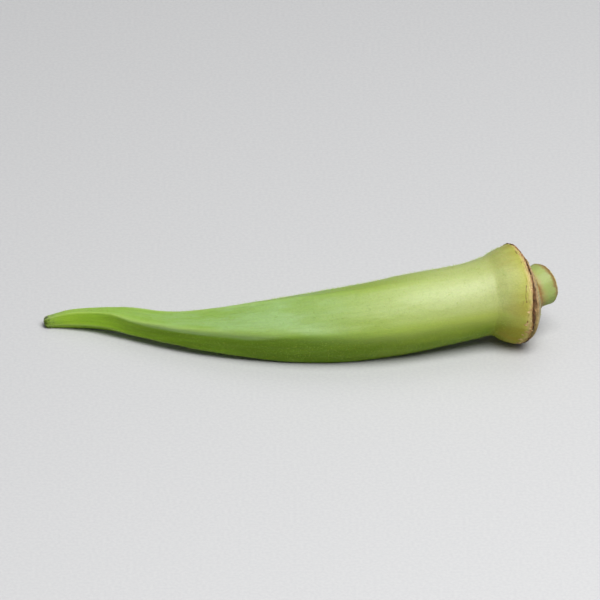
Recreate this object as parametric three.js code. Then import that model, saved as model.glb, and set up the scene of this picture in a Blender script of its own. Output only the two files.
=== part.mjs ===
import * as THREE from "three";
import { mergeVertices } from "three/addons/utils/BufferGeometryUtils.js";

// One okra pod, picked with a stub of its stem, lying on its side. It grew in one piece: the cut stem,
// the cap that flares out to the scar left by the fallen calyx, the five-ribbed body and the slender beak.
// Units are millimetres and degrees. Distances run along the middle line, from the cut stem to the beak's tip.

const POD_LENGTH = 105;
const STEM_RADIUS = 4.1;
const STEM_LENGTH = 3.7;
const SCAR_DISTANCE = 6.9;
const SCAR_RADIUS = 10;
const SCAR_GROOVE = 0.3;
const CAP_FULLNESS = 0.8;
const CAP_FULL_TO = 119;
const BODY_RADIUS = 7.85;
const BEAK_RADIUS = 1.9;
const TIP_RADIUS = 1.3;

const RIBS = 5;
const RIB_SHARPNESS = 0.27;
const RIB_CREASE = 0.1;

// Lying still, the pod touches the surface at three places: the scar's rim, the belly and the beak's tip.
const SETTLED_ROLL = 0.28;
const SETTLED_PITCH = -0.22;
const RESTING_PRESS = 0.25;
const SIDES = 64;

// Distance, radius. The flanks between these points are smooth.
const PROFILE = [
  [0.3, 0.97 * STEM_RADIUS],
  [0.9, 1.06 * STEM_RADIUS],
  [1.7, 1.02 * STEM_RADIUS],
  [3.2, 0.98 * STEM_RADIUS],
  [STEM_LENGTH, 1.06 * STEM_RADIUS],
  [STEM_LENGTH + 0.35, 1.12 * STEM_RADIUS],
  [STEM_LENGTH + 0.75, 1.35 * STEM_RADIUS],
  [SCAR_DISTANCE - 2, 0.66 * SCAR_RADIUS],
  [SCAR_DISTANCE - 1.4, 0.78 * SCAR_RADIUS],
  [SCAR_DISTANCE - 0.8, 0.885 * SCAR_RADIUS],
  [SCAR_DISTANCE - 0.35, 0.955 * SCAR_RADIUS],
  [SCAR_DISTANCE, 0.98 * SCAR_RADIUS - SCAR_GROOVE],
  [SCAR_DISTANCE + 0.35, SCAR_RADIUS],
  [SCAR_DISTANCE + 1.2, 0.99 * SCAR_RADIUS],
  [SCAR_DISTANCE + 2.5, 0.95 * SCAR_RADIUS],
  [SCAR_DISTANCE + 4.2, 0.87 * SCAR_RADIUS],
  [SCAR_DISTANCE + 6.2, 0.775 * SCAR_RADIUS],
  [SCAR_DISTANCE + 9.5, 0.97 * BODY_RADIUS],
  [23, 0.985 * BODY_RADIUS],
  [30, BODY_RADIUS],
  [37, 0.97 * BODY_RADIUS],
  [45, 0.915 * BODY_RADIUS],
  [53, 0.815 * BODY_RADIUS],
  [61.5, 0.667 * BODY_RADIUS],
  [69.5, 0.507 * BODY_RADIUS],
  [78, 1.57 * BEAK_RADIUS],
  [86.5, 1.34 * BEAK_RADIUS],
  [95, 1.06 * BEAK_RADIUS],
  [100, 0.92 * BEAK_RADIUS],
  [POD_LENGTH - 2.6, 0.76 * BEAK_RADIUS],
  [POD_LENGTH - 1.3, TIP_RADIUS],
];

// Distance, radius on the cut face of the stem, from its middle out, with the hollow pith.
const CUT_FACE = [
  [0.4, 0],
  [0.38, 0.22 * STEM_RADIUS],
  [0.08, 0.34 * STEM_RADIUS],
  [0, 0.62 * STEM_RADIUS],
  [0.05, 0.9 * STEM_RADIUS],
];

// Distance, radius at the round tip, in to the small dimple where the style broke off.
const STYLE_SCAR = [
  [POD_LENGTH - 0.7, 0.92 * TIP_RADIUS],
  [POD_LENGTH - 0.25, 0.72 * TIP_RADIUS],
  [POD_LENGTH - 0.03, 0.4 * TIP_RADIUS],
  [POD_LENGTH, 0.24 * TIP_RADIUS],
  [POD_LENGTH - 0.08, 0],
];

// Distance, heading in the level plane. The pod lies on the inside of its own bend.
const HEADING = [
  [0, 36],
  [SCAR_DISTANCE - 1, 19],
  [SCAR_DISTANCE + 4, 10],
  [SCAR_DISTANCE + 9, 14],
  [24, 13.5],
  [32.5, 11],
  [41, 5.5],
  [49, 0],
  [65, -7],
  [74, -15.5],
  [83, -26],
  [90, -23],
  [98, -9],
  [POD_LENGTH, 6],
];

// Distance, slope of the middle line, downwards towards the tip.
const SLOPE = [
  [0, -13],
  [SCAR_DISTANCE - 1, -6],
  [SCAR_DISTANCE + 2.5, 0.5],
  [SCAR_DISTANCE + 8, -4.8],
  [58, -4.7],
  [80, -4.6],
  [93, -6.5],
  [POD_LENGTH, -9],
];

// Distance, rib height as a share of the radius: none at the round cap, most on the beak.
const RIB_HEIGHT = [
  [SCAR_DISTANCE, 0],
  [20, 0.009],
  [34, 0.03],
  [50, 0.052],
  [64, 0.068],
  [76, 0.084],
  [88, 0.098],
  [98, 0.085],
  [POD_LENGTH, 0.03],
];

// Distance, angle of the first rib above the level, on the bend's outer side. The ribs wind a little.
const RIB_ANGLE = [
  [SCAR_DISTANCE, 0],
  [34, 5],
  [45, 10],
  [55, 16.5],
  [75, 30],
  [85, 37],
  [91, 55],
  [POD_LENGTH, 65],
];

// Distance, lean of the section from square: the stem's oblique cut and the slanted scar.
const LEAN = [
  [0, 9],
  [2.6, 0],
  [3.2, 1],
  [SCAR_DISTANCE - 1, 9.5],
  [SCAR_DISTANCE + 2, 10],
  [19, 0],
];
const CUT_LEANS_TO = 70;
const SCAR_LEANS_TO = 52;

// A smooth curve through points that rises and falls only where they do.
function through(points, at) {
  const last = points.length - 1;
  if (at <= points[0][0]) return points[0][1];
  if (at >= points[last][0]) return points[last][1];
  const rise = (k) =>
    (points[k + 1][1] - points[k][1]) / (points[k + 1][0] - points[k][0]);
  const slopeAt = (k) => {
    if (k === 0 || k === last) return 0;
    const before = rise(k - 1);
    const after = rise(k);
    return before * after <= 0 ? 0 : (2 * before * after) / (before + after);
  };
  const k = points.findIndex((point) => point[0] > at) - 1;
  const width = points[k + 1][0] - points[k][0];
  const t = (at - points[k][0]) / width;
  return (
    points[k][1] * (1 + 2 * t) * (1 - t) ** 2 +
    slopeAt(k) * width * t * (1 - t) ** 2 +
    points[k + 1][1] * (3 - 2 * t) * t ** 2 +
    slopeAt(k + 1) * width * (t - 1) * t ** 2
  );
}

const radians = THREE.MathUtils.degToRad;

// The middle line's direction at a distance.
function directionAt(distance) {
  const heading = radians(through(HEADING, distance));
  const slope = radians(through(SLOPE, distance));
  return new THREE.Vector3(
    -Math.cos(slope) * Math.cos(heading),
    -Math.cos(slope) * Math.sin(heading),
    Math.sin(slope),
  );
}

// The middle line, walked in short even steps from the cut stem.
const WALK_STEP = 0.1;
const middleLine = [new THREE.Vector3()];
for (let walked = 0; walked < POD_LENGTH + 1; walked += WALK_STEP) {
  const step = directionAt(walked + WALK_STEP / 2).multiplyScalar(WALK_STEP);
  middleLine.push(middleLine.at(-1).clone().add(step));
}
function middleAt(distance) {
  const steps = distance / WALK_STEP;
  const k = Math.floor(steps);
  return middleLine[k].clone().lerp(middleLine[k + 1], steps - k);
}

// The cross-section's radius as a share of the round one: ribs, and the slow unevenness of growth.
function ribbed(distance, angle) {
  const around = RIBS * (angle - radians(through(RIB_ANGLE, distance)));
  const ridge =
    Math.cos(around) +
    RIB_SHARPNESS * Math.cos(2 * around) +
    RIB_CREASE * Math.cos(3 * around);
  const onBody = THREE.MathUtils.smoothstep(distance, SCAR_DISTANCE + 3, 24);
  const uneven =
    0.012 * Math.sin(distance / 4.6 + 1.3) * Math.cos(angle - 0.6) +
    0.01 * Math.sin(distance / 7.3 + 0.4) * Math.cos(2 * angle + 1.1);
  return 1 + through(RIB_HEIGHT, distance) * ridge + onBody * uneven;
}

// The scar's flange stands a little further out on two of its sides, and the cap below it is fuller on one.
function flange(distance, angle) {
  const near = Math.exp(-(((distance - SCAR_DISTANCE) / 1.8) ** 2));
  const below = Math.exp(-(((distance - SCAR_DISTANCE - 4.5) / 3) ** 2));
  return (
    near * (0.16 * Math.cos(2 * angle + 0.5) + 0.12 * Math.cos(5 * angle + 2)) +
    below * CAP_FULLNESS * Math.cos(angle - radians(CAP_FULL_TO))
  );
}

function pointAt(distance, radius, angle) {
  const along = directionAt(Math.max(distance, 0));
  const outward = new THREE.Vector3(0, 0, 1).cross(along).normalize();
  const upward = along.clone().cross(outward);
  const reach =
    radius * ribbed(distance, angle) +
    flange(distance, angle) * (radius / SCAR_RADIUS);
  const leansTo = radians(distance < STEM_LENGTH - 1 ? CUT_LEANS_TO : SCAR_LEANS_TO);
  const shift =
    -reach * Math.tan(radians(through(LEAN, distance))) * Math.cos(angle - leansTo);
  return middleAt(distance)
    .addScaledVector(outward, reach * Math.cos(angle))
    .addScaledVector(upward, reach * Math.sin(angle))
    .addScaledVector(along, shift);
}

// Where the sections stand: close at the scars, wider apart on the even body.
function sectionDistances() {
  const spacing = [
    [0.3, 0.5],
    [STEM_LENGTH, 0.4],
    [SCAR_DISTANCE - 0.6, 0.3],
    [SCAR_DISTANCE + 0.6, 0.35],
    [SCAR_DISTANCE + 3, 1],
    [20, 2.1],
    [80, 1.9],
    [POD_LENGTH - 4, 1.2],
    [POD_LENGTH, 0.6],
  ];
  const found = [];
  const end = PROFILE.at(-1)[0];
  for (let at = PROFILE[0][0]; at < end - 0.3; at += through(spacing, at)) {
    found.push(at);
  }
  return [...found, end];
}

const outline = [
  ...CUT_FACE,
  ...sectionDistances().map((at) => [at, through(PROFILE, at)]),
  ...STYLE_SCAR,
];

const positions = [];
for (const [distance, radius] of outline) {
  for (let side = 0; side < SIDES; side += 1) {
    const angle = (2 * Math.PI * side) / SIDES;
    positions.push(...pointAt(distance, radius, angle).toArray());
  }
}

const triangles = [];
for (let row = 0; row < outline.length - 1; row += 1) {
  for (let side = 0; side < SIDES; side += 1) {
    const next = (side + 1) % SIDES;
    const a = row * SIDES + side;
    const b = row * SIDES + next;
    const c = a + SIDES;
    const d = b + SIDES;
    if (outline[row][1] > 0) triangles.push(a, b, c);
    if (outline[row + 1][1] > 0) triangles.push(b, d, c);
  }
}

const loose = new THREE.BufferGeometry();
loose.setAttribute("position", new THREE.Float32BufferAttribute(positions, 3));
loose.setIndex(triangles);
const podShape = mergeVertices(loose, 1e-4);

// The pod settles on the surface: its lowest flesh is pressed flat where it rests.
podShape.rotateX(radians(SETTLED_ROLL));
podShape.rotateY(radians(SETTLED_PITCH));
podShape.computeBoundingBox();
const box = podShape.boundingBox;
podShape.translate(
  -(box.min.x + box.max.x) / 2,
  -(box.min.y + box.max.y) / 2,
  -box.min.z - RESTING_PRESS,
);
const corners = podShape.getAttribute("position");
for (let k = 0; k < corners.count; k += 1) {
  corners.setZ(k, Math.max(corners.getZ(k), 0));
}
podShape.computeVertexNormals();

const okraPod = new THREE.Mesh(
  podShape,
  new THREE.MeshStandardMaterial({ color: 0x9dbb4f, roughness: 0.5, metalness: 0 }),
);
okraPod.name = "okra_pod";

const pod = new THREE.Group();
pod.add(okraPod);

export default pod;
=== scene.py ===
# One okra pod, picked with a stub of its stem and laid on its side on a pale table. It grew in
# one piece, so all that is made below belongs to one skin: the pod itself, the rims of dried
# tissue, the flakes of cork, the ends of the vessels in the cut stem, and the down.
import math

import bpy
import numpy as np
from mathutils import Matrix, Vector


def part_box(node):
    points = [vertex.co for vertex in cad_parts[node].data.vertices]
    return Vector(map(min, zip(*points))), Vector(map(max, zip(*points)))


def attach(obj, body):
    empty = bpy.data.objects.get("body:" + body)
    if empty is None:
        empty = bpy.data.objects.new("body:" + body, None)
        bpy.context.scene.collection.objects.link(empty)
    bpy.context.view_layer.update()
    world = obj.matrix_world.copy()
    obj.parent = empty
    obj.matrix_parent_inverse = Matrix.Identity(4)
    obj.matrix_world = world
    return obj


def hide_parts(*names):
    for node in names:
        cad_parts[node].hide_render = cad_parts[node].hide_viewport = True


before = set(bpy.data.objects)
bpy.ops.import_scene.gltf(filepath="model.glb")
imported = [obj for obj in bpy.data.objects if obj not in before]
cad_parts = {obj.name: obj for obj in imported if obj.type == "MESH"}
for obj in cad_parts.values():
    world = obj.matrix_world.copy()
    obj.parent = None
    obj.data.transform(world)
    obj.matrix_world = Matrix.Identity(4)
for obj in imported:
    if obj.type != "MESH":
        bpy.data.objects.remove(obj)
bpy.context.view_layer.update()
pod_low, pod_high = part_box("okra_pod")


# The pod: a five-ribbed seed capsule. It narrows from the scar ring at its stem end, runs nearly
# even, and draws out into a slender beak. It lies on its side, a little flat where it rests.
# Lengths are millimetres along the middle line from the cut stem, angles are degrees.
POD_LENGTH = 105
STEM_RADIUS = 4.1
STEM_LENGTH = 3.7
SCAR_DISTANCE = 6.9
SCAR_RADIUS = 10
SCAR_GROOVE = 0.3
FLANGE_LENGTH = 1.8
CAP_PAST_SCAR = 4.5
CAP_LENGTH = 3
CAP_FULLNESS = 0.8
CAP_FULL_TO = 119
BODY_RADIUS = 7.85
BEAK_RADIUS = 1.9
TIP_RADIUS = 1.3
RIBS = 5
RIB_SHARPNESS = 0.27
RIB_CREASE = 0.1
UNEVEN_PAST_SCAR = 3
UNEVEN_FULL_AT = 21
RESTING_PRESS = 0.25
CUT_EDGE = 0.3
TIP_EDGE = POD_LENGTH - 1.3
SIDES = 240
MILLIMETRE = 0.001

RADIUS_ALONG = [
    (CUT_EDGE, 0.97 * STEM_RADIUS),
    (0.9, 1.06 * STEM_RADIUS),
    (1.7, 1.02 * STEM_RADIUS),
    (3.2, 0.98 * STEM_RADIUS),
    (STEM_LENGTH, 1.06 * STEM_RADIUS),
    (STEM_LENGTH + 0.35, 1.12 * STEM_RADIUS),
    (STEM_LENGTH + 0.75, 1.35 * STEM_RADIUS),
    (SCAR_DISTANCE - 2, 0.66 * SCAR_RADIUS),
    (SCAR_DISTANCE - 1.4, 0.78 * SCAR_RADIUS),
    (SCAR_DISTANCE - 0.8, 0.885 * SCAR_RADIUS),
    (SCAR_DISTANCE - 0.35, 0.955 * SCAR_RADIUS),
    (SCAR_DISTANCE, 0.98 * SCAR_RADIUS - SCAR_GROOVE),
    (SCAR_DISTANCE + 0.35, SCAR_RADIUS),
    (SCAR_DISTANCE + 1.2, 0.99 * SCAR_RADIUS),
    (SCAR_DISTANCE + 2.5, 0.95 * SCAR_RADIUS),
    (SCAR_DISTANCE + 4.2, 0.87 * SCAR_RADIUS),
    (SCAR_DISTANCE + 6.2, 0.775 * SCAR_RADIUS),
    (SCAR_DISTANCE + 9.5, 0.97 * BODY_RADIUS),
    (23, 0.985 * BODY_RADIUS),
    (30, BODY_RADIUS),
    (37, 0.97 * BODY_RADIUS),
    (45, 0.915 * BODY_RADIUS),
    (53, 0.815 * BODY_RADIUS),
    (61.5, 0.667 * BODY_RADIUS),
    (69.5, 0.507 * BODY_RADIUS),
    (78, 1.57 * BEAK_RADIUS),
    (86.5, 1.34 * BEAK_RADIUS),
    (95, 1.06 * BEAK_RADIUS),
    (100, 0.92 * BEAK_RADIUS),
    (POD_LENGTH - 2.6, 0.76 * BEAK_RADIUS),
    (TIP_EDGE, TIP_RADIUS),
]
CUT_FACE = [
    (0.4, 0.02),
    (0.38, 0.22 * STEM_RADIUS),
    (0.08, 0.34 * STEM_RADIUS),
    (0, 0.62 * STEM_RADIUS),
    (0.05, 0.9 * STEM_RADIUS),
    (CUT_EDGE, 0.97 * STEM_RADIUS),
]
STYLE_SCAR = [
    (TIP_EDGE, TIP_RADIUS),
    (POD_LENGTH - 0.7, 0.92 * TIP_RADIUS),
    (POD_LENGTH - 0.25, 0.72 * TIP_RADIUS),
    (POD_LENGTH - 0.03, 0.4 * TIP_RADIUS),
    (POD_LENGTH, 0.24 * TIP_RADIUS),
    (POD_LENGTH - 0.08, 0.02),
]
HEADING = [
    (0, 36),
    (SCAR_DISTANCE - 1, 19),
    (SCAR_DISTANCE + 4, 10),
    (SCAR_DISTANCE + 9, 14),
    (24, 13.5),
    (32.5, 11),
    (41, 5.5),
    (49, 0),
    (65, -7),
    (74, -15.5),
    (83, -26),
    (90, -23),
    (98, -9),
    (POD_LENGTH, 6),
]
SLOPE = [
    (0, -13),
    (SCAR_DISTANCE - 1, -6),
    (SCAR_DISTANCE + 2.5, 0.5),
    (SCAR_DISTANCE + 8, -4.8),
    (58, -4.7),
    (80, -4.6),
    (93, -6.5),
    (POD_LENGTH, -9),
]
RIB_HEIGHT = [
    (SCAR_DISTANCE, 0),
    (20, 0.009),
    (34, 0.03),
    (50, 0.052),
    (64, 0.068),
    (76, 0.084),
    (88, 0.098),
    (98, 0.085),
    (POD_LENGTH, 0.03),
]
RIB_ANGLE = [
    (SCAR_DISTANCE, 0),
    (34, 5),
    (45, 10),
    (55, 16.5),
    (75, 30),
    (85, 37),
    (91, 55),
    (POD_LENGTH, 65),
]
LEAN = [
    (0, 9),
    (2.6, 0),
    (3.2, 1),
    (SCAR_DISTANCE - 1, 9.5),
    (SCAR_DISTANCE + 2, 10),
    (19, 0),
]
CUT_LEANS_TO = 70
SCAR_LEANS_TO = 52
SETTLED_ROLL = 0.28
SETTLED_PITCH = -0.22

# Waves in the radius: height as a share of it, length and start along the pod, lobes and turn
# round it.
UNEVEN_WAVES = [(0.012, 4.6, 1.3, 1, -0.6), (0.01, 7.3, 0.4, 2, 1.1)]
# Waves of the flange at the scar: height in millimetres, lobes and turn round it.
FLANGE_WAVES = [(0.16, 2, 0.5), (0.12, 5, 2)]
# Where each stretch of rings of the skin's mesh begins, and how far apart its rings stand.
RING_STRETCHES = [
    (CUT_EDGE, 0.12),
    (STEM_LENGTH, 0.09),
    (SCAR_DISTANCE - 1, 0.05),
    (SCAR_DISTANCE + 1.5, 0.22),
    (18, 0.5),
    (POD_LENGTH - 5, 0.2),
    (TIP_EDGE, 0),
]
FACE_SPACING = 0.2
TIP_SPACING = 0.12


def through(points, at):
    """A smooth curve through points that rises and falls only where they do."""
    known, values = np.array(points, float).T
    at = np.clip(np.asarray(at, float), known[0], known[-1])
    widths = np.diff(known)
    rises = np.diff(values) / widths
    slopes = np.zeros(len(known))
    same_way = rises[:-1] * rises[1:] > 0
    both = np.where(same_way, rises[:-1] + rises[1:], 1)
    slopes[1:-1] = np.where(same_way, 2 * rises[:-1] * rises[1:] / both, 0)
    k = np.clip(np.searchsorted(known, at, side="right") - 1, 0, len(widths) - 1)
    width = widths[k]
    t = (at - known[k]) / width
    return (
        values[k] * (1 + 2 * t) * (1 - t) ** 2
        + slopes[k] * width * t * (1 - t) ** 2
        + values[k + 1] * (3 - 2 * t) * t**2
        + slopes[k + 1] * width * (t - 1) * t**2
    )


def direction_at(distance):
    heading = np.radians(through(HEADING, distance))
    slope = np.radians(through(SLOPE, distance))
    flat = -np.cos(slope)
    return np.stack([flat * np.cos(heading), flat * np.sin(heading), np.sin(slope)], -1)


WALK_STEP = 0.1
walked = np.arange(0, POD_LENGTH + 2, WALK_STEP)
middle_line = np.vstack(
    [np.zeros(3), np.cumsum(direction_at(walked + WALK_STEP / 2) * WALK_STEP, axis=0)]
)


def middle_at(distance):
    steps = np.arange(len(middle_line)) * WALK_STEP
    return np.stack([np.interp(distance, steps, middle_line[:, k]) for k in range(3)], -1)


def rib_phase(distance, angle):
    """0 on a rib's crest, and pi in the groove between two ribs."""
    return RIBS * (angle - np.radians(through(RIB_ANGLE, distance)))


def points_on_pod(distance, radius, angle):
    """Points on the skin, in millimetres, before the pod is settled on the table."""
    distance, radius, angle = np.broadcast_arrays(distance, radius, angle)
    along = direction_at(np.maximum(distance, 0))
    outward = np.stack([-along[..., 1], along[..., 0], np.zeros_like(distance)], -1)
    outward /= np.linalg.norm(outward, axis=-1, keepdims=True)
    upward = np.cross(along, outward)
    phase = rib_phase(distance, angle)
    ridge = np.cos(phase) + RIB_SHARPNESS * np.cos(2 * phase) + RIB_CREASE * np.cos(3 * phase)
    past_scar = distance - SCAR_DISTANCE
    on_body = (past_scar - UNEVEN_PAST_SCAR) / (UNEVEN_FULL_AT - SCAR_DISTANCE)
    on_body = np.clip(on_body, 0, 1)
    on_body = on_body**2 * (3 - 2 * on_body)
    uneven = sum(
        height * np.sin(distance / length + start) * np.cos(lobes * angle + turn)
        for height, length, start, lobes, turn in UNEVEN_WAVES
    )
    share = 1 + through(RIB_HEIGHT, distance) * ridge + on_body * uneven
    waves = sum(height * np.cos(lobes * angle + turn) for height, lobes, turn in FLANGE_WAVES)
    flange = np.exp(-((past_scar / FLANGE_LENGTH) ** 2)) * waves
    in_cap = np.exp(-(((past_scar - CAP_PAST_SCAR) / CAP_LENGTH) ** 2))
    flange = flange + in_cap * CAP_FULLNESS * np.cos(angle - np.radians(CAP_FULL_TO))
    reach = radius * share + flange * radius / SCAR_RADIUS
    leans_to = np.where(distance < STEM_LENGTH - 1, CUT_LEANS_TO, SCAR_LEANS_TO)
    lean = np.radians(through(LEAN, distance))
    shift = -reach * np.tan(lean) * np.cos(angle - np.radians(leans_to))
    return (
        middle_at(distance)
        + outward * (reach * np.cos(angle))[..., None]
        + upward * (reach * np.sin(angle))[..., None]
        + along * shift[..., None]
    )


def turned(points, axis, degrees):
    """Points turned about the X axis (0) or the Y axis (1)."""
    cos, sin = math.cos(math.radians(degrees)), math.sin(math.radians(degrees))
    about_x = np.array([[1, 0, 0], [0, cos, -sin], [0, sin, cos]])
    about_y = np.array([[cos, 0, sin], [0, 1, 0], [-sin, 0, cos]])
    return points @ (about_x if axis == 0 else about_y).T


def laid_down(points):
    return turned(turned(points, 0, SETTLED_ROLL), 1, SETTLED_PITCH)


def even_steps(start, end, spacing):
    return np.linspace(start, end, max(2, round((end - start) / spacing) + 1))[:-1]


def along_outline(points, spacing):
    """Distances and radii evenly spaced on a smooth outline through points."""
    known = np.array(points, float)
    lengths = np.linalg.norm(np.diff(known, axis=0), axis=1)
    at = np.concatenate([[0], np.cumsum(lengths)])
    steps = np.append(even_steps(0, at[-1], spacing), at[-1])
    return [through(np.stack([at, known[:, k]], -1), steps) for k in range(2)]


body_distances = np.concatenate(
    [
        even_steps(start, end, spacing)
        for (start, spacing), (end, _) in zip(RING_STRETCHES, RING_STRETCHES[1:])
    ]
)
body_radii = through(RADIUS_ALONG, body_distances)
face_distances, face_radii = along_outline(CUT_FACE, FACE_SPACING)
tip_distances, tip_radii = along_outline(STYLE_SCAR, TIP_SPACING)
distances = np.concatenate([face_distances[:-1], body_distances, tip_distances])
radii = np.concatenate([face_radii[:-1], body_radii, tip_radii])
angles = np.arange(SIDES) * 2 * math.pi / SIDES
bare_points = points_on_pod(distances[:, None], radii[:, None], angles[None, :])
bare_points = laid_down(bare_points)

pod_centre = (np.array(pod_low) + np.array(pod_high)) / 2 / MILLIMETRE
lowest, highest = bare_points.min((0, 1)), bare_points.max((0, 1))
to_place = pod_centre - (lowest + highest) / 2
to_place[2] = pod_low.z / MILLIMETRE - RESTING_PRESS - lowest[2]


def settled(points):
    """Points on the skin where the pod lies, in metres, pressed flat where it touches the table."""
    placed = laid_down(points) + to_place
    placed[..., 2] = np.maximum(placed[..., 2], pod_low.z / MILLIMETRE)
    return placed * MILLIMETRE


def new_object(name, mesh):
    made = bpy.data.objects.new(name, mesh)
    bpy.context.scene.collection.objects.link(made)
    return made


def put_attribute(mesh, name, kind, values):
    field = {"FLOAT": "value", "FLOAT_VECTOR": "vector"}[kind]
    layer = mesh.attributes.new(name, kind, "POINT")
    layer.data.foreach_set(field, np.asarray(values, np.float32).ravel())


def smooth_step(low, high, value):
    t = np.clip((value - low) / (high - low), 0, 1)
    return t * t * (3 - 2 * t)


# Where the painted light ends and painted shade begins: by the sine of the angle over the main rib,
# and in millimetres along.
SOFT_EDGE = (-0.9, 0.5)
SHARP_EDGE = (-0.05, 0.13)
SHARP_SHARE = 0.45
ROUND_BODY_ENDS = (34, 56)
PAST_RIB = 0.3
PAST_RIB_IN = (50, 62)
PAST_RIB_OUT = (80, 92)


def lit_side_share(distance, angle):
    """1 on the side painted as lit, 0 on the side painted in shade. It ends sharply at the main
    rib, softly opposite it.
    """
    over_rib = angle - np.radians(through(RIB_ANGLE, distance))
    softly = smooth_step(*SOFT_EDGE, np.sin(over_rib))
    past_rib = PAST_RIB * smooth_step(*PAST_RIB_IN, distance)
    past_rib = past_rib * (1 - smooth_step(*PAST_RIB_OUT, distance))
    edge = smooth_step(*SHARP_EDGE, np.sin(over_rib) + past_rib)
    sharply = SHARP_SHARE * edge + (1 - SHARP_SHARE) * softly
    away = np.maximum((1 - np.cos(over_rib)) / 2, 1 - smooth_step(*ROUND_BODY_ENDS, distance))
    return sharply * (1 - away) + softly * away


def skin_mesh():
    """Rings of points from the cut face to the tip, closed at both ends round a middle point."""
    rows = len(distances)
    ring_points = points_on_pod(distances[:, None], radii[:, None], angles[None, :])
    ring_points = settled(ring_points).reshape(-1, 3)
    ends = np.stack([ring_points[:SIDES].mean(0), ring_points[-SIDES:].mean(0)])
    row = np.arange(rows - 1)[:, None] * SIDES
    side = np.arange(SIDES)[None, :]
    next_side = (side + 1) % SIDES
    next_row = row + SIDES
    quads = [row + side, row + next_side, next_row + next_side, next_row + side]
    quads = np.stack(quads, -1).reshape(-1, 4).tolist()
    first, last = rows * SIDES, rows * SIDES + 1
    start_fan = [(first, (k + 1) % SIDES, k) for k in range(SIDES)]
    base = (rows - 1) * SIDES
    end_fan = [(last, base + k, base + (k + 1) % SIDES) for k in range(SIDES)]
    mesh = bpy.data.meshes.new("pod")
    mesh.from_pydata(np.vstack([ring_points, ends]).tolist(), [], quads + start_fan + end_fan)
    at = np.repeat(distances, SIDES)
    turn = np.tile(angles, rows)
    growth = np.stack([np.cos(turn), np.sin(turn), at], -1)
    growth = np.vstack([growth, [0, 0, distances[0]], [0, 0, distances[-1]]])
    crest = np.append((1 + np.cos(rib_phase(at, turn))) / 2, [0, 0])
    put_attribute(mesh, "growth", "FLOAT_VECTOR", growth)
    put_attribute(mesh, "crest", "FLOAT", crest)
    # The lit side's share: where the skin's colour gets painted highlights and where it gets
    # painted shade.
    put_attribute(mesh, "lit_side", "FLOAT", np.append(lit_side_share(at, turn), [0.5, 0.5]))
    reach = np.append(np.repeat(radii, SIDES), [0, 0])
    put_attribute(mesh, "reach", "FLOAT", reach)
    mesh.shade_smooth()
    return mesh


def add_node(tree, kind, inputs=None, **settings):
    """Adds a node. inputs holds, by name or number, a plain value or the output that feeds it."""
    made = tree.nodes.new(kind)
    for name, value in settings.items():
        setattr(made, name, value)
    for name, value in (inputs or {}).items():
        if isinstance(value, bpy.types.NodeSocket):
            tree.links.new(value, made.inputs[name])
        else:
            made.inputs[name].default_value = value
    return made


def calculate(tree, operation, *values):
    """One step of arithmetic on numbers."""
    step = add_node(tree, "ShaderNodeMath", dict(enumerate(values)), operation=operation)
    return step.outputs[0]


def times(tree, first, *others):
    """Two or more numbers multiplied."""
    for other in others:
        first = calculate(tree, "MULTIPLY", first, other)
    return first


def scaled(tree, vector, by):
    """A vector made longer or shorter."""
    inputs = {0: vector, "Scale": by}
    return add_node(tree, "ShaderNodeVectorMath", inputs, operation="SCALE").outputs[0]


def noise(tree, vector, scale, detail=2.0, roughness=0.5):
    """A noise between 0 and 1."""
    inputs = {"Vector": vector, "Scale": scale, "Detail": detail, "Roughness": roughness}
    return add_node(tree, "ShaderNodeTexNoise", inputs).outputs[0]


def ramp_between(tree, value, low, high, from_value=0.0, to_value=1.0):
    """A smooth step from one value to another as a number goes from low to high."""
    inputs = {"Value": value, 1: low, 2: high, 3: from_value, 4: to_value}
    step = add_node(tree, "ShaderNodeMapRange", inputs, interpolation_type="SMOOTHSTEP")
    return step.outputs[0]


def band(tree, value, rise, fall):
    """1 between a rise and a fall, each given by where it begins and ends, and 0 outside them."""
    rising = ramp_between(tree, value, *rise)
    return times(tree, rising, ramp_between(tree, value, *fall, 1.0, 0.0))


def pattern(tree, growth, along, scale, detail=2.0, roughness=0.5):
    """A noise on the skin. The smaller along is, the more it is drawn out along the pod."""
    inputs = {0: growth, 1: (1, 1, along)}
    drawn_out = add_node(tree, "ShaderNodeVectorMath", inputs, operation="MULTIPLY")
    return noise(tree, drawn_out.outputs[0], scale, detail, roughness)


def new_tree(name, sizes):
    """An empty Geometry Nodes tree with its geometry sockets and a number input for each size."""
    tree = bpy.data.node_groups.new(name, "GeometryNodeTree")
    new_socket = tree.interface.new_socket
    new_socket("Geometry", in_out="INPUT", socket_type="NodeSocketGeometry")
    for size, value in sizes.items():
        socket = new_socket(size, in_out="INPUT", socket_type="NodeSocketFloat")
        socket.default_value = value
    new_socket("Geometry", in_out="OUTPUT", socket_type="NodeSocketGeometry")
    start = tree.nodes.new("NodeGroupInput")
    end = tree.nodes.new("NodeGroupOutput")
    return tree, start.outputs, end.inputs["Geometry"]


def finish_tree(tree, geometry, material, end):
    """Ends a tree in real geometry with its material on."""
    real = add_node(tree, "GeometryNodeRealizeInstances", {"Geometry": geometry})
    inputs = {"Geometry": real.outputs[0], "Material": material}
    dressed = add_node(tree, "GeometryNodeSetMaterial", inputs)
    tree.links.new(dressed.outputs[0], end)


def read_attribute(tree, name, kind):
    """What the skin's points carry under a name, read in a Geometry Nodes tree."""
    inputs = {"Name": name}
    return add_node(tree, "GeometryNodeInputNamedAttribute", inputs, data_type=kind).outputs[0]


def place_on_pod(tree):
    """Where the skin's points grew, and their distance along the pod."""
    growth = read_attribute(tree, "growth", "FLOAT_VECTOR")
    return growth, add_node(tree, "ShaderNodeSeparateXYZ", {0: growth}).outputs[2]


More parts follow.
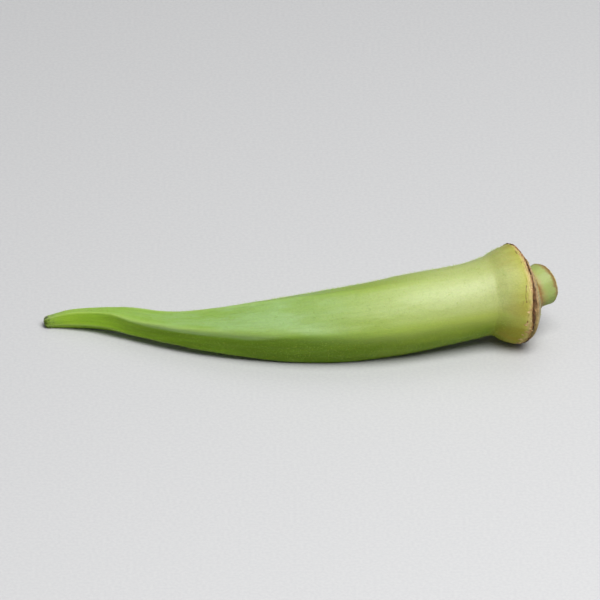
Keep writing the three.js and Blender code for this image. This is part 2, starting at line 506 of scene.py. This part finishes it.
def grow(name, mesh, make_tree, sizes, material):
    """Grows a piece on a mesh by a tree, and keeps it as a plain mesh, nowhere below the table."""
    tree = make_tree(sizes, material)
    carrier = new_object(name + "_growing", mesh)
    modifier = carrier.modifiers.new("growth", "NODES")
    modifier.node_group = tree
    for item in tree.interface.items_tree:
        if item.in_out == "INPUT" and item.name in sizes:
            modifier[item.identifier] = sizes[item.name]
    evaluated = carrier.evaluated_get(bpy.context.evaluated_depsgraph_get())
    grown = bpy.data.meshes.new_from_object(evaluated)
    carrier.modifiers.remove(modifier)
    bpy.data.objects.remove(carrier)
    places = np.zeros(len(grown.vertices) * 3, np.float32)
    grown.vertices.foreach_get("co", places)
    places[2::3] = np.maximum(places[2::3], pod_low.z)
    grown.vertices.foreach_set("co", places)
    grown.materials.clear()
    grown.materials.append(material)
    grown.name = name
    return new_object(name, grown)


def linear(red, green, blue):
    """A colour given from 0 to 255, as the shader wants it."""
    parts = [c / 255 for c in (red, green, blue)]
    return [c / 12.92 if c <= 0.04045 else ((c + 0.055) / 1.055) ** 2.4 for c in parts] + [1]


def mix_colours(tree, share, first, second, blend="MIX"):
    inputs = {0: share, 6: first, 7: second}
    step = add_node(tree, "ShaderNodeMix", inputs, data_type="RGBA", blend_type=blend)
    return step.outputs[2]


def new_material(name):
    material = bpy.data.materials.new(name)
    material.use_nodes = True
    tree = material.node_tree
    surface = tree.nodes["Principled BSDF"]
    return material, tree, surface


def set_inputs(node, values):
    for name, value in values.items():
        node.inputs[name].default_value = value


# Distance along the pod and the skin's own colour there, before bloom and painted sheen, painted
# highlights, painted shade and marks cover it.
COLOUR_ALONG = [
    (0.0, (200, 198, 130)),
    (0.3, (124, 84, 42)),
    (0.7, (132, 92, 46)),
    (1.05, (154, 166, 96)),
    (2.2, (152, 168, 94)),
    (2.9, (160, 152, 90)),
    (3.7, (134, 92, 50)),
    (4.1, (178, 152, 100)),
    (4.7, (156, 158, 92)),
    (5.7, (166, 156, 98)),
    (6.3, (188, 164, 114)),
    (6.7, (172, 138, 94)),
    (6.95, (84, 56, 32)),
    (7.22, (98, 68, 38)),
    (7.42, (172, 132, 86)),
    (7.62, (206, 180, 126)),
    (8.0, (188, 174, 100)),
    (8.6, (172, 174, 76)),
    (12.0, (160, 170, 60)),
    (26.0, (149, 168, 50)),
    (36.0, (138, 162, 44)),
    (48.0, (126, 158, 44)),
    (62.0, (126, 162, 46)),
    (80.0, (134, 172, 46)),
    (94.0, (144, 184, 52)),
    (100.5, (150, 185, 58)),
    (103.0, (142, 174, 66)),
    (104.0, (130, 152, 76)),
    (104.5, (76, 88, 34)),
    (105.0, (52, 54, 22)),
]
# Among these colours the bloom also serves as painted sheen, the crest's and the veil's colours are
# painted highlights, and the shaded green is painted shade.
BLOOM_AND_SHEEN = linear(150, 186, 120)
CREST_HIGHLIGHT = linear(186, 210, 116)
PAINTED_HIGHLIGHT = linear(190, 199, 160)
OLIVE = linear(146, 136, 38)
SCAR_BROWN = linear(104, 66, 32)
PITH = linear(214, 212, 160)
DEEP_GREEN = linear(96, 120, 10)
SHADED_GREEN = linear(92, 122, 4)

# Each pattern: its scale along the pod as a share of that round it, scale, detail, roughness.
STREAKS = (0.01, 20.0, 4.0, 0.55)
BROAD = (0.05, 2.2, 3.0)
RAGGED = (0.3, 5.0, 4.0, 0.65)
SPECKLE = (0.12, 42.0, 3.0, 0.6)
SPOTS = (0.4, 4.2, 2.0, 0.4)
STRANDS = (0.01, 9.0, 3.0)
DENTS = (0.06, 1.3, 3.0)
CORK = (0.22, 9.0, 3.0)

# Where each mark comes in and fades out, in millimetres along the pod.
COLOUR_FRAYS = (9.5, 12.0)
BLOOM_AND_SHEEN_IN = (36, 54)
BEAK_IN = (72, 94)
PAINTED_HIGHLIGHT_IN = (8.5, 12.0)
PAINTED_HIGHLIGHT_OUT = (18, 40)
CREST_HIGHLIGHT_IN = (40, 88)
STREAKS_IN = (14, 60)
STRANDS_IN = (16, 60)
BODY_IN = (7.6, 11)
OLIVE_IN = (7.4, 8.6)
OLIVE_OUT = (9.5, 15.0)
SPOTS_IN = (7.1, 7.5)
SPOTS_OUT = (8.2, 9.4)
FIBRES_IN = (STEM_LENGTH, STEM_LENGTH + 0.5)
FIBRES_OUT = (SCAR_DISTANCE - 0.6, SCAR_DISTANCE)
CORK_IN = (SCAR_DISTANCE - 0.9, SCAR_DISTANCE - 0.2)
CORK_OUT = (SCAR_DISTANCE + 0.5, SCAR_DISTANCE + 2.2)
CUT_OUT = (0.44, 0.5)
# The same, in millimetres out from the middle line.
PITH_EDGE = (0.3 * STEM_RADIUS, 0.36 * STEM_RADIUS)
RELIEF_IN = (0.2, 1.6)

# Between which values of its pattern, or of the lit side's share, each mark comes in.
BLOOM_AND_SHEEN_PATCHES = (0.38, 0.62)
PAINTED_HIGHLIGHT_ON_LIT_SIDE = (0.72, 1.0)
STREAK_LINES = (0.42, 0.66)
PAINTED_SHADE_BY_LIT_SIDE = (0.0, 1.0)
SHADE_PATCHES = (0.3, 0.6)
OLIVE_PATCHES = (0.4, 0.62)
OLIVE_BY_LIT_SIDE = (0.0, 0.8)
SPOT_PATCHES = (0.63, 0.69)
FIBRE_LINES = (0.42, 0.6)
SPECKLE_DOTS = (0.3, 0.7)
ROUGH_PATCHES = (0.3, 0.7)
WAX_BY_LIT_SIDE = (0.2, 1.0)

# How strongly each mark covers the colour under it, at one end of that and at the other.
BLOOM_AND_SHEEN_COVER = (0.15, 0.55)
PAINTED_HIGHLIGHT_COVER = (0.0, 0.28)
CREST_HIGHLIGHT_COVER = (0.04, 0.42)
STREAK_COVER = (0.0, 0.16)
SHADE_COVER = (0.9, 0.0)
SHADE_UNEVEN = (0.7, 1.0)
OLIVE_COVER = (0.1, 0.6)
OLIVE_MORE_IN_PAINTED_SHADE = (0.4, 0.0)
SPOT_COVER = (0.0, 0.9)
FIBRE_COVER = (0.0, 0.55)

# What is left of a mark where it is weaker.
BLOOM_AND_SHEEN_ON_BEAK = 0.15
STREAKS_BY_SCAR = 0.25
STRANDS_BY_SCAR = 0.1
SHADE_ON_CAP = 0.35
SHADE_ON_BEAK = 0.35

CREST_HIGHLIGHT_SHARPNESS = 14.0
COLOUR_WANDER = 1.3
WANDER_ON_BODY = 7.0
SPECKLE_SHADES = (0.9, 1.08)
ROUGHNESS = (0.42, 0.54)
CORK_ROUGHER = 0.3
WAX = (0.04, 1.0)


def skin_material():
    """Living skin: satin, a little translucent, streaked along its length, with bloom and cork, and
    with painted sheen, highlights and shade in its colour.
    """
    material, tree, surface = new_material("pod_skin")
    growth = add_node(tree, "ShaderNodeAttribute", attribute_name="growth").outputs["Vector"]
    crest, lit_side, reach = [
        add_node(tree, "ShaderNodeAttribute", attribute_name=name).outputs["Fac"]
        for name in ("crest", "lit_side", "reach")
    ]
    distance = add_node(tree, "ShaderNodeSeparateXYZ", {0: growth}).outputs[2]
    streaks, broad, ragged, speckle, spots = [
        pattern(tree, growth, *form) for form in (STREAKS, BROAD, RAGGED, SPECKLE, SPOTS)
    ]

    wander = times(tree, calculate(tree, "SUBTRACT", ragged, 0.5), COLOUR_WANDER)
    frays = ramp_between(tree, distance, *COLOUR_FRAYS, 1.0, WANDER_ON_BODY)
    wandered = calculate(tree, "MULTIPLY_ADD", wander, frays, distance)
    share_along = calculate(tree, "DIVIDE", wandered, POD_LENGTH)
    ramp = add_node(tree, "ShaderNodeValToRGB", {0: share_along})
    stops = ramp.color_ramp.elements
    while len(stops) < len(COLOUR_ALONG):
        stops.new(0.5)
    for stop, (at, colour) in zip(stops, COLOUR_ALONG):
        stop.position = at / POD_LENGTH
        stop.color = linear(*colour)
    colour = ramp.outputs[0]

    # Bloom and painted sheen: pale silvery patches of wax bloom, laid only on the lit side, where
    # they also stand in for a sheen of light.
    bloom_and_sheen = times(
        tree,
        ramp_between(tree, distance, *BLOOM_AND_SHEEN_IN),
        ramp_between(tree, distance, *BEAK_IN, 1.0, BLOOM_AND_SHEEN_ON_BEAK),
        ramp_between(tree, broad, *BLOOM_AND_SHEEN_PATCHES, *BLOOM_AND_SHEEN_COVER),
        lit_side,
    )
    colour = mix_colours(tree, bloom_and_sheen, colour, BLOOM_AND_SHEEN)

    # Painted highlight: a whitish veil on the lit side of the body near the stem end.
    painted_highlight = times(
        tree,
        ramp_between(tree, lit_side, *PAINTED_HIGHLIGHT_ON_LIT_SIDE, *PAINTED_HIGHLIGHT_COVER),
        ramp_between(tree, distance, *PAINTED_HIGHLIGHT_IN),
        ramp_between(tree, distance, *PAINTED_HIGHLIGHT_OUT, 1.0, 0.0),
    )
    colour = mix_colours(tree, painted_highlight, colour, PAINTED_HIGHLIGHT)

    # Painted highlight: a lighter line along the rib crests, growing towards the beak.
    raised = ramp_between(tree, distance, *CREST_HIGHLIGHT_IN, *CREST_HIGHLIGHT_COVER)
    crest_highlight = times(tree, calculate(tree, "POWER", crest, CREST_HIGHLIGHT_SHARPNESS), raised)
    colour = mix_colours(tree, crest_highlight, colour, CREST_HIGHLIGHT)

    streaked = times(
        tree,
        ramp_between(tree, streaks, *STREAK_LINES, *STREAK_COVER),
        ramp_between(tree, distance, *STREAKS_IN, STREAKS_BY_SCAR, 1.0),
    )
    colour = mix_colours(tree, streaked, colour, DEEP_GREEN)

    # Painted shade: below the main rib and on the side away from the light the skin turns a darker
    # green, broken up in patches.
    on_body = ramp_between(tree, distance, *BODY_IN, SHADE_ON_CAP, 1.0)
    shaded = times(
        tree,
        ramp_between(tree, lit_side, *PAINTED_SHADE_BY_LIT_SIDE, *SHADE_COVER),
        on_body,
        ramp_between(tree, broad, *SHADE_PATCHES, *SHADE_UNEVEN),
        ramp_between(tree, distance, *BEAK_IN, 1.0, SHADE_ON_BEAK),
    )
    colour = mix_colours(tree, shaded, colour, SHADED_GREEN)

    # Olive patches beside the scar are the skin's own colour; the extra olive on the shaded side is
    # painted shade.
    olive = ramp_between(tree, broad, *OLIVE_PATCHES, *OLIVE_COVER)
    more_in_painted_shade = ramp_between(tree, lit_side, *OLIVE_BY_LIT_SIDE, *OLIVE_MORE_IN_PAINTED_SHADE)
    olive = calculate(tree, "ADD", olive, more_in_painted_shade)
    beside_scar = band(tree, distance, OLIVE_IN, OLIVE_OUT)
    colour = mix_colours(tree, times(tree, beside_scar, olive), colour, OLIVE)

    scar_band = band(tree, distance, SPOTS_IN, SPOTS_OUT)
    spotted = ramp_between(tree, spots, *SPOT_PATCHES, *SPOT_COVER)
    spotted = times(tree, spotted, scar_band)
    colour = mix_colours(tree, spotted, colour, SCAR_BROWN)

    fibres = times(
        tree,
        band(tree, distance, FIBRES_IN, FIBRES_OUT),
        ramp_between(tree, streaks, *FIBRE_LINES, *FIBRE_COVER),
    )
    colour = mix_colours(tree, fibres, colour, SCAR_BROWN)

    on_cut = times(
        tree,
        ramp_between(tree, distance, *CUT_OUT, 1.0, 0.0),
        ramp_between(tree, reach, *PITH_EDGE, 1.0, 0.0),
    )
    colour = mix_colours(tree, on_cut, colour, PITH)

    shade = ramp_between(tree, speckle, *SPECKLE_DOTS, *SPECKLE_SHADES)
    grey = add_node(tree, "ShaderNodeCombineColor", {0: shade, 1: shade, 2: shade}).outputs[0]
    colour = mix_colours(tree, 1.0, colour, grey, "MULTIPLY")
    tree.links.new(colour, surface.inputs["Base Color"])

    rough = ramp_between(tree, broad, *ROUGH_PATCHES, *ROUGHNESS)
    rough = calculate(tree, "ADD", rough, times(tree, scar_band, CORK_ROUGHER))
    tree.links.new(rough, surface.inputs["Roughness"])
    wax = times(tree, ramp_between(tree, lit_side, *WAX_BY_LIT_SIDE, *WAX), on_body)
    tree.links.new(wax, surface.inputs["Coat Weight"])
    inputs = {"Strength": 0.25, "Distance": 0.00012, "Height": speckle}
    fine = add_node(tree, "ShaderNodeBump", inputs).outputs[0]
    inputs = {"Strength": 0.12, "Distance": 0.0001, "Height": streaks, "Normal": fine}
    long_lines = add_node(tree, "ShaderNodeBump", inputs).outputs[0]
    tree.links.new(long_lines, surface.inputs["Normal"])
    values = {
        "Subsurface Weight": 0.12,
        "Subsurface Radius": (0.5, 0.9, 0.18),
        "Subsurface Scale": 0.0008,
        "Sheen Weight": 0.03,
        "Sheen Roughness": 0.45,
        "IOR": 1.45,
        "Specular IOR Level": 0.09,
        "Coat IOR": 1.8,
        "Coat Roughness": 0.57,
    }
    set_inputs(surface, values)
    return material


def relief_tree(sizes, material):
    """Lifts and sinks the skin along its normal: strands, soft dents, and cork by the scar."""
    tree, given, end = new_tree("skin_relief", sizes)
    growth, distance = place_on_pod(tree)
    reach = read_attribute(tree, "reach", "FLOAT")

    def swing(form, height):
        wave = pattern(tree, growth, *form)
        return times(tree, calculate(tree, "SUBTRACT", wave, 0.5), height)

    strands = swing(STRANDS, given["Strand height"])
    dents = swing(DENTS, given["Dent height"])
    cork = swing(CORK, given["Cork height"])
    along_body = ramp_between(tree, distance, *STRANDS_IN, STRANDS_BY_SCAR, 1.0)
    strands = times(tree, strands, along_body)
    cork = times(tree, cork, band(tree, distance, CORK_IN, CORK_OUT))
    height = calculate(tree, "ADD", calculate(tree, "ADD", strands, dents), cork)
    height = times(tree, height, ramp_between(tree, reach, *RELIEF_IN))
    normal = add_node(tree, "GeometryNodeInputNormal").outputs[0]
    inputs = {"Geometry": given["Geometry"], "Offset": scaled(tree, normal, height)}
    moved = add_node(tree, "GeometryNodeSetPosition", inputs)
    finish_tree(tree, moved.outputs[0], material, end)
    return tree


relief_sizes = {"Strand height": 0.0001, "Dent height": 0.00045, "Cork height": 0.0009}
skin = skin_material()
pod_skin = grow("pod", skin_mesh(), relief_tree, relief_sizes, skin)
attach(pod_skin, "root")
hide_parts("okra_pod")


# The rims: where the calyx fell away the skin healed in a thin dark ridge of dried tissue. It runs
# all round the widest part of the pod, of uneven thickness, on the lip beside the groove. A fainter
# one rings the stem.
RIM_THICKNESS = 0.5
STEM_RIM_SHARE = 0.55
RIM_POINTS = 220
RIM_SIDES = 8
RIM_PAST_SCAR = 0.3
RIM_PAST_STEM = 0.1
STEM_RIM_SUNK = 0.02
RIM_WANDER = 0.0003
WANDER_SCALE = 700.0
SWELL_NOISE = (420.0, 3.0)
SWELL_STEP = (0.34, 0.66)
RIM_SWELL = (0.45, 1.25)
MOTTLE_NOISE = (1400.0, 4.0, 0.65)
MOTTLE_STEP = (0.35, 0.65)
# Waves of the rim along the pod: height in millimetres, lobes and turn round it.
RIM_WAVES = [(0.1, 3, 1.0), (0.07, 7, 0.4)]


def ring_path(name, distance, lift=0.0):
    """A closed line round the pod at one distance along it."""
    around = np.arange(RIM_POINTS) * 2 * math.pi / RIM_POINTS
    wobble = sum(height * np.sin(lobes * around + turn) for height, lobes, turn in RIM_WAVES)
    at = distance + wobble
    places = settled(points_on_pod(at, through(RADIUS_ALONG, at) + lift, around))
    steps = [(k, (k + 1) % RIM_POINTS) for k in range(RIM_POINTS)]
    mesh = bpy.data.meshes.new(name)
    mesh.from_pydata(places.tolist(), steps, [])
    return mesh


def rim_tree(sizes, material):
    """A tube along the ring whose thickness comes and goes."""
    tree, given, end = new_tree("healed_rim", sizes)
    curve = add_node(tree, "GeometryNodeMeshToCurve", {"Mesh": given["Geometry"]})
    place = add_node(tree, "GeometryNodeInputPosition").outputs[0]
    inputs = {"Vector": place, "Scale": WANDER_SCALE}
    drift = add_node(tree, "ShaderNodeTexNoise", inputs).outputs[1]
    inputs = {0: drift, 1: (0.5, 0.5, 0.5)}
    drift = add_node(tree, "ShaderNodeVectorMath", inputs, operation="SUBTRACT").outputs[0]
    inputs = {"Geometry": curve.outputs[0], "Offset": scaled(tree, drift, given["Wander"])}
    frayed = add_node(tree, "GeometryNodeSetPosition", inputs)
    swell = ramp_between(tree, noise(tree, place, *SWELL_NOISE), *SWELL_STEP, *RIM_SWELL)
    inputs = {"Resolution": RIM_SIDES, "Radius": 0.5}
    section = add_node(tree, "GeometryNodeCurvePrimitiveCircle", inputs)
    inputs = {
        "Curve": frayed.outputs[0],
        "Profile Curve": section.outputs[0],
        "Scale": times(tree, swell, given["Thickness"]),
    }
    tube = add_node(tree, "GeometryNodeCurveToMesh", inputs)
    smooth = add_node(tree, "GeometryNodeSetShadeSmooth", {"Geometry": tube.outputs[0]})
    finish_tree(tree, smooth.outputs[0], material, end)
    return tree


def cork_material(name, dark, light):
    """Dried, dull, cracked tissue in two browns."""
    material, tree, surface = new_material(name)
    place = add_node(tree, "ShaderNodeTexCoord").outputs["Object"]
    mottle = noise(tree, place, *MOTTLE_NOISE)
    share = ramp_between(tree, mottle, *MOTTLE_STEP)
    tree.links.new(mix_colours(tree, share, dark, light), surface.inputs["Base Color"])
    inputs = {"Strength": 0.8, "Distance": 0.0001, "Height": mottle}
    cracks = add_node(tree, "ShaderNodeBump", inputs)
    tree.links.new(cracks.outputs[0], surface.inputs["Normal"])
    set_inputs(surface, {"Roughness": 0.85, "Specular IOR Level": 0.3})
    return material


rim_sizes = {"Thickness": RIM_THICKNESS * MILLIMETRE, "Wander": RIM_WANDER}
rim_finish = cork_material("healed_rim", linear(64, 42, 24), linear(114, 80, 48))
rim_line = ring_path("scar_rim_line", SCAR_DISTANCE + RIM_PAST_SCAR)
scar_rim = grow("scar_rim", rim_line, rim_tree, rim_sizes, rim_finish)
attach(scar_rim, "root")

stem_rim_thickness = STEM_RIM_SHARE * RIM_THICKNESS * MILLIMETRE
stem_rim_sizes = {"Thickness": stem_rim_thickness, "Wander": RIM_WANDER}
stem_rim_finish = cork_material("stem_rim", linear(112, 78, 44), linear(186, 150, 96))
stem_rim_line = ring_path("stem_rim_line", STEM_LENGTH + RIM_PAST_STEM, -STEM_RIM_SUNK)
stem_rim = grow("stem_rim", stem_rim_line, rim_tree, stem_rim_sizes, stem_rim_finish)
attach(stem_rim, "root")


# The flakes: thin scabs of pale cork, stuck to the skin just on the body's side of the scar's rim.
# They are irregular, flat and rough, and lie scattered round the whole ring.
FLAKES_FROM = SCAR_DISTANCE + 0.2
FLAKES_TO = SCAR_DISTANCE + 1.5
FLAKE_CLUMPS = (0.3, 3.0)
CLUMP_STEP = (0.4, 0.6)
FLAKE_SEED = 7
# The least and the greatest length, width and thickness of a flake, as shares of its size.
FLAKE_LEAST = (0.5, 0.35, 0.12)
FLAKE_MOST = (1.5, 0.9, 0.26)
FLAKE_SHAPE_SEED = 3
WEAR_SCALE = 2600.0
WEAR_STEP = (0.3, 0.7)
FLAKE_WEAR = (0.5, 1.4)


def scatter(tree, geometry, density, seed):
    """Points strewn over a surface, with its normal and rotation at each."""
    inputs = {"Mesh": geometry, "Density": density, "Seed": seed}
    return add_node(tree, "GeometryNodeDistributePointsOnFaces", inputs).outputs


def random_vector(tree, least, most, seed):
    inputs = {0: least, 1: most, "Seed": seed}
    step = add_node(tree, "FunctionNodeRandomValue", inputs, data_type="FLOAT_VECTOR")
    return step.outputs[0]


def flake_tree(sizes, material):
    tree, given, end = new_tree("cork_flakes", sizes)
    growth, distance = place_on_pod(tree)
    density = times(
        tree,
        calculate(tree, "GREATER_THAN", distance, FLAKES_FROM),
        calculate(tree, "LESS_THAN", distance, FLAKES_TO),
        ramp_between(tree, pattern(tree, growth, *FLAKE_CLUMPS), *CLUMP_STEP),
        given["Flakes a square metre"],
    )
    spread = scatter(tree, given["Geometry"], density, FLAKE_SEED)
    inputs = {"Radius": given["Flake size"], "Subdivisions": 2}
    flake = add_node(tree, "GeometryNodeMeshIcoSphere", inputs)
    place = add_node(tree, "GeometryNodeInputPosition").outputs[0]
    wear = ramp_between(tree, noise(tree, place, WEAR_SCALE), *WEAR_STEP, *FLAKE_WEAR)
    inputs = {"Geometry": flake.outputs[0], "Position": scaled(tree, place, wear)}
    flake = add_node(tree, "GeometryNodeSetPosition", inputs)
    inputs = {
        "Points": spread["Points"],
        "Instance": flake.outputs[0],
        "Rotation": spread["Rotation"],
        "Scale": random_vector(tree, FLAKE_LEAST, FLAKE_MOST, FLAKE_SHAPE_SEED),
    }
    placed = add_node(tree, "GeometryNodeInstanceOnPoints", inputs)
    finish_tree(tree, placed.outputs[0], material, end)
    return tree


flake_sizes = {"Flakes a square metre": 2.2e6, "Flake size": 0.00028}
flake_finish = cork_material("cork_flake", linear(150, 108, 64), linear(214, 186, 134))
skin_copy = pod_skin.data.copy()
cork_flakes = grow("cork_flakes", skin_copy, flake_tree, flake_sizes, flake_finish)
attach(cork_flakes, "root")


# The vessels' ends: on the cut face of the stem the sap vessels stand in a ring round the pith,
# each a small pale bump where the knife went through.
BUNDLES = 34
BUNDLE_DEPTH = 0.06
BUNDLE_RING = 0.66 * STEM_RADIUS
BUNDLE_LEAST = 0.6
BUNDLE_MOST = 1.3
BUNDLE_SEED = 11


def bundle_tree(sizes, material):
    tree, given, end = new_tree("vessel_ends", sizes)
    points = add_node(tree, "GeometryNodeMeshToPoints", {"Mesh": given["Geometry"]})
    inputs = {"Radius": given["Bundle size"], "Subdivisions": 2}
    bead = add_node(tree, "GeometryNodeMeshIcoSphere", inputs)
    inputs = {
        "Points": points.outputs[0],
        "Instance": bead.outputs[0],
        "Scale": random_vector(tree, [BUNDLE_LEAST] * 3, [BUNDLE_MOST] * 3, BUNDLE_SEED),
    }
    placed = add_node(tree, "GeometryNodeInstanceOnPoints", inputs)
    finish_tree(tree, placed.outputs[0], material, end)
    return tree


around_stem = np.arange(BUNDLES) * 2 * math.pi / BUNDLES
bundle_mesh = bpy.data.meshes.new("vessel_ends_line")
bundle_places = settled(points_on_pod(BUNDLE_DEPTH, BUNDLE_RING, around_stem))
bundle_mesh.from_pydata(bundle_places.tolist(), [], [])
bundle_sizes = {"Bundle size": 0.00021}
bundle_finish = cork_material("vessel_end", linear(150, 140, 84), linear(222, 214, 164))
vessel_ends = grow("vessel_ends", bundle_mesh, bundle_tree, bundle_sizes, bundle_finish)
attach(vessel_ends, "root")


# The down: short stiff hairs all over the green skin, leaning a little towards the tip, too thin
# to be seen one by one. Each is a three-sided spike closed at its root.
DOWN_ABOVE_TABLE = (0.0004, 0.0014)
DOWN_IN = (SCAR_DISTANCE + 0.6, SCAR_DISTANCE + 5)
DOWN_ON_SCAR = 0.06
DOWN_SEED = 5
HAIR_SIDES = 3
# How far a hair leans from the skin's normal, at the least and the most.
LEAN_LEAST = (-0.95, -0.55, -0.55)
LEAN_MOST = (0.15, 0.55, 0.55)
LEAN_SEED = 9
HAIR_LEAST = 0.5
HAIR_MOST = 1.3
HAIR_SEED = 2
HAIR_TONE_SCALE = 300.0


def down_tree(sizes, material):
    tree, given, end = new_tree("down", sizes)
    distance = place_on_pod(tree)[1]
    place = add_node(tree, "GeometryNodeInputPosition").outputs[0]
    height = add_node(tree, "ShaderNodeSeparateXYZ", {0: place}).outputs[2]
    density = times(
        tree,
        ramp_between(tree, height, *DOWN_ABOVE_TABLE),
        ramp_between(tree, distance, *DOWN_IN, DOWN_ON_SCAR, 1.0),
        given["Hairs a square metre"],
    )
    spread = scatter(tree, given["Geometry"], density, DOWN_SEED)
    inputs = {
        "Vertices": HAIR_SIDES,
        "Radius Top": 0.0,
        "Radius Bottom": given["Hair thickness"],
        "Depth": given["Hair length"],
    }
    hair = add_node(tree, "GeometryNodeMeshCone", inputs)
    inputs = {0: spread["Normal"], 1: random_vector(tree, LEAN_LEAST, LEAN_MOST, LEAN_SEED)}
    leaning = add_node(tree, "ShaderNodeVectorMath", inputs, operation="ADD")
    inputs = {"Vector": leaning.outputs[0]}
    turn = add_node(tree, "FunctionNodeAlignRotationToVector", inputs, axis="Z")
    inputs = {2: HAIR_LEAST, 3: HAIR_MOST, "Seed": HAIR_SEED}
    size = add_node(tree, "FunctionNodeRandomValue", inputs, data_type="FLOAT")
    inputs = {
        "Points": spread["Points"],
        "Instance": hair.outputs[0],
        "Rotation": turn.outputs[0],
        "Scale": size.outputs[1],
    }
    placed = add_node(tree, "GeometryNodeInstanceOnPoints", inputs)
    finish_tree(tree, placed.outputs[0], material, end)
    return tree


def down_material():
    """Clear, glassy hairs of two greens, a little paler than the skin under them."""
    material, tree, surface = new_material("down")
    place = add_node(tree, "ShaderNodeTexCoord").outputs["Object"]
    share = noise(tree, place, HAIR_TONE_SCALE)
    colour = mix_colours(tree, share, linear(124, 156, 36), linear(170, 192, 84))
    tree.links.new(colour, surface.inputs["Base Color"])
    values = {
        "Roughness": 0.65,
        "Specular IOR Level": 0.2,
        "Subsurface Weight": 0.3,
        "Subsurface Scale": 0.0003,
    }
    set_inputs(surface, values)
    return material


down_sizes = {
    "Hairs a square metre": 5.0e6,
    "Hair length": 0.00042,
    "Hair thickness": 0.000018,
}
down_finish = down_material()
down = grow("down", pod_skin.data.copy(), down_tree, down_sizes, down_finish)
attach(down, "root")


# The table: a broad pale matt sheet, a little uneven in tone, under the pod.
HALF_TABLE = 3.0
GRAIN_NOISE = (1500.0, 4.0)
GRAIN_STEP = (0.3, 0.7)
TABLE_GREYS = (linear(192, 192, 193), linear(198, 198, 198))

table_mesh = bpy.data.meshes.new("table")
signs = [(-1, -1), (1, -1), (1, 1), (-1, 1)]
corners = [(x * HALF_TABLE, y * HALF_TABLE, 0) for x, y in signs]
table_mesh.from_pydata(corners, [], [(0, 1, 2, 3)])
table = new_object("table", table_mesh)
table_finish, table_tree, table_surface = new_material("table")
table_place = add_node(table_tree, "ShaderNodeTexCoord").outputs["Object"]
table_grain = noise(table_tree, table_place, *GRAIN_NOISE)
table_tone = ramp_between(table_tree, table_grain, *GRAIN_STEP)
table_colour = mix_colours(table_tree, table_tone, *TABLE_GREYS)
table_tree.links.new(table_colour, table_surface.inputs["Base Color"])
set_inputs(table_surface, {"Roughness": 0.7})
table_mesh.materials.append(table_finish)


# The light: one large soft lamp above, in front and to the right, a faint one to the left, a
# weak one behind, and a pale room.
# Each lamp's azimuth and elevation in degrees, distance and width in metres, and power in watts.
LAMPS = {
    "front_lamp": (35, 61, 0.8, 0.5, 8.1),
    "left_lamp": (-70, 45, 0.9, 0.6, 0.25),
    "back_lamp": (160, 55, 0.9, 0.6, 1.2),
}
ROOM_COLOUR = linear(240, 243, 248)
ROOM_STRENGTH = 0.18


def soft_lamp(name, azimuth, elevation, away, width, power):
    light = bpy.data.lights.new(name, "AREA")
    light.shape = "SQUARE"
    light.size = width
    light.energy = power
    lamp = new_object(name, light)
    turn, rise = math.radians(azimuth), math.radians(elevation)
    level = math.cos(rise)
    back = Vector((math.sin(turn) * level, -math.cos(turn) * level, math.sin(rise)))
    lamp.location = back * away
    lamp.rotation_euler = (-back).to_track_quat("-Z", "Y").to_euler()


for lamp_name, setting in LAMPS.items():
    soft_lamp(lamp_name, *setting)
room = bpy.data.worlds.new("room")
room.use_nodes = True
background = room.node_tree.nodes["Background"]
set_inputs(background, {"Color": ROOM_COLOUR, "Strength": ROOM_STRENGTH})
bpy.context.scene.world = room
bpy.context.scene.view_settings.view_transform = "Standard"


# The camera: it looks along +Y and down by the photograph's angle, from far off and through a
# long lens.
CAMERA_ELEVATION = 29
CAMERA_AWAY = 1.6
POD_SHARE_OF_WIDTH = 0.86
SENSOR_WIDTH = 36
NEAREST_SEEN = 0.1
FARTHEST_SEEN = 20

pod_middle = (pod_low + pod_high) / 2
camera_data = bpy.data.cameras.new("camera")
camera_data.sensor_width = SENSOR_WIDTH
camera_data.lens = SENSOR_WIDTH * CAMERA_AWAY * POD_SHARE_OF_WIDTH / (pod_high.x - pod_low.x)
camera_data.clip_start = NEAREST_SEEN
camera_data.clip_end = FARTHEST_SEEN
camera = new_object("camera", camera_data)
camera_rise = math.radians(CAMERA_ELEVATION)
camera_back = Vector((0, -math.cos(camera_rise), math.sin(camera_rise)))
camera.location = pod_middle + camera_back * CAMERA_AWAY
camera.rotation_euler = (-camera_back).to_track_quat("-Z", "Y").to_euler()
bpy.context.scene.camera = camera
